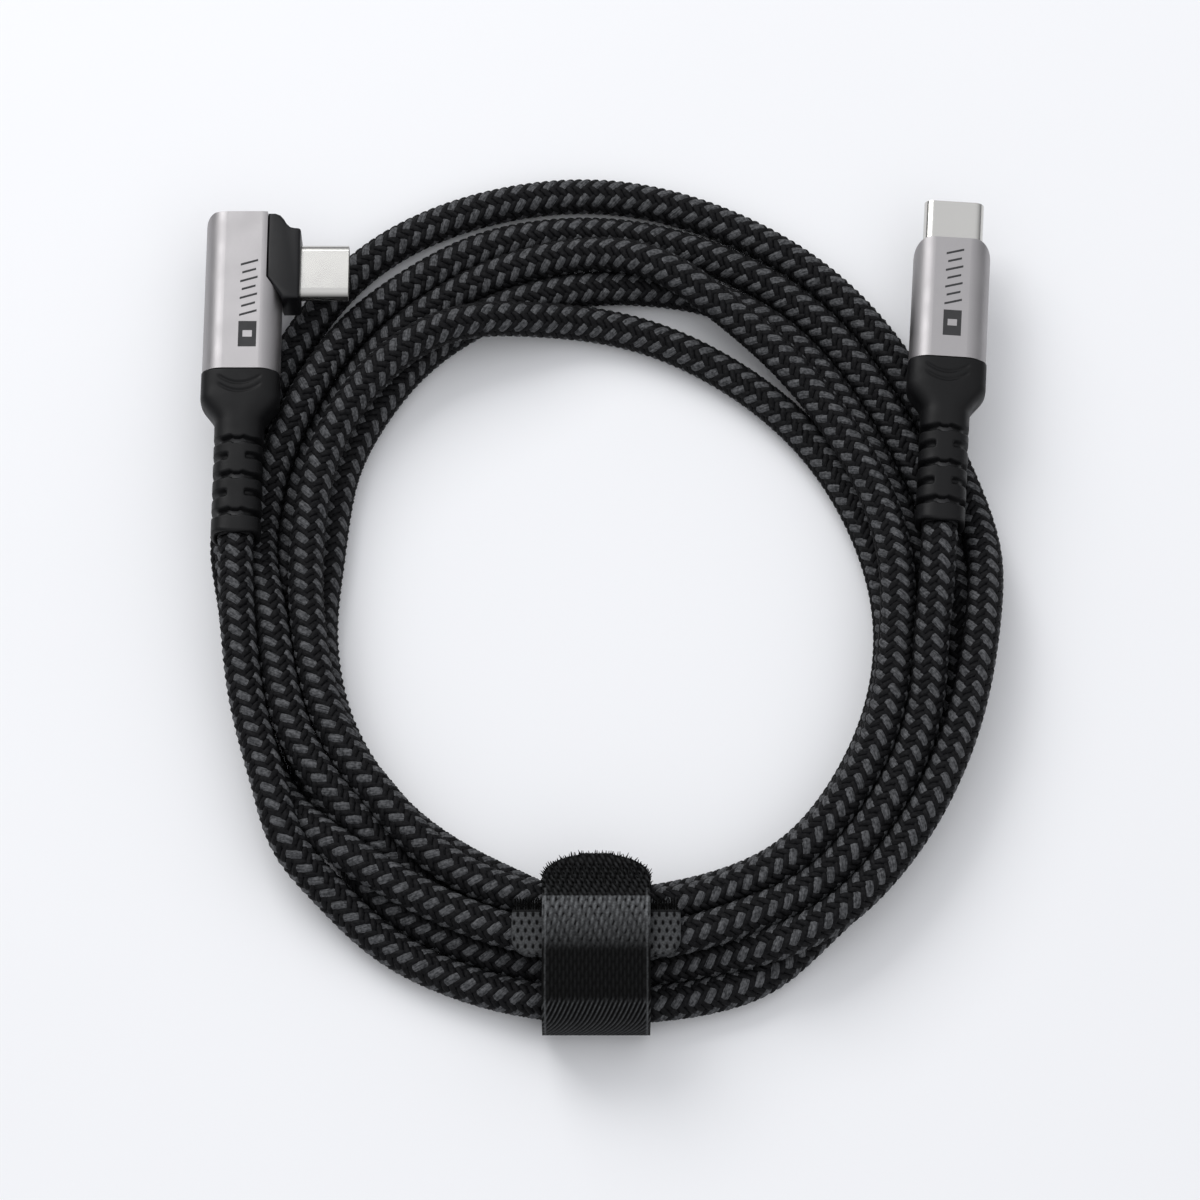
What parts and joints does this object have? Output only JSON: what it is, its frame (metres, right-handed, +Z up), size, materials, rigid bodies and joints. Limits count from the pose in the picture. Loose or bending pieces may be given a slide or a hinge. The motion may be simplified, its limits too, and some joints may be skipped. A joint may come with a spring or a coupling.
{
  "type": "coiled charging cable",
  "caption": "Braided charging cable wound in a flat coil, with a right-angle plug, a straight plug and a hook-and-loop strap whose tail peels open.",
  "frame": {"origin": "on the floor under the middle of the plugs and strap taken together", "axes": "+Z up from the floor the coil lies on, +Y from the strap towards the plugs, +X towards the straight plug"},
  "size_m": [0.1095, 0.1268, 0.0128],
  "materials": {
    "nickel_shell": "satin nickel plate",
    "anodised_housing": "fine bead-blasted silver anodising",
    "boot_rubber": "matt moulded",
    "corner_plastic": "fine spark texture",
    "braid": "black nylon braid with grey picks",
    "strap_loops": "brushed loop pile",
    "strap_hooks": "woven tape with stiff hooks",
    "insulator_plastic": "moulded",
    "contact_plating": "gold plate",
    "spring_steel": "bright strip",
    "board_laminate": "solder resist",
    "chip_epoxy": "matt epoxy",
    "ceramic_parts": "fired ceramic",
    "wire_insulation": "extruded",
    "ferrule_brass": "pressed strip",
    "inner_jacket": "extruded",
    "mould_plastic": "low-pressure moulding"
  },
  "bodies": {
    "coiled_cable": {"angle_plug_shell": "nickel_shell", "angle_insulator": "insulator_plastic", "angle_upper_contacts": "contact_plating", "angle_lower_contacts": "contact_plating", "angle_latch_plate": "spring_steel", "angle_ground_springs": "spring_steel", "angle_paddle_board": "board_laminate", "angle_emarker_chip": "chip_epoxy", "angle_board_parts": "ceramic_parts", "angle_conductors": "wire_insulation", "angle_crimp_ferrule": "ferrule_brass", "angle_cord_stub": "inner_jacket", "angle_inner_mould": "mould_plastic", "angle_housing": "anodised_housing", "angle_corner_block": "corner_plastic", "angle_boot": "boot_rubber", "straight_plug_shell": "nickel_shell", "straight_insulator": "insulator_plastic", "straight_upper_contacts": "contact_plating", "straight_lower_contacts": "contact_plating", "straight_latch_plate": "spring_steel", "straight_ground_springs": "spring_steel", "straight_paddle_board": "board_laminate", "straight_emarker_chip": "chip_epoxy", "straight_board_parts": "ceramic_parts", "straight_conductors": "wire_insulation", "straight_crimp_ferrule": "ferrule_brass", "straight_cord_stub": "inner_jacket", "straight_inner_mould": "mould_plastic", "straight_housing": "anodised_housing", "straight_boot": "boot_rubber", "cord_coil": "braid", "cord_end_angle": "braid", "cord_end_straight": "braid", "strap_band_loops": "strap_loops", "strap_band_hooks": "strap_hooks"},
    "strap_tail": {"strap_tail_loops": "strap_loops", "strap_tail_hooks": "strap_hooks"}
  },
  "joints": [
    {"name": "strap_tail_peel", "type": "hinge", "parent": "coiled_cable", "child": "strap_tail", "pos_m": [0, -0.0566, 0.0123], "axis": [1, 0, 0], "range_deg": [0, 150]}
  ]
}
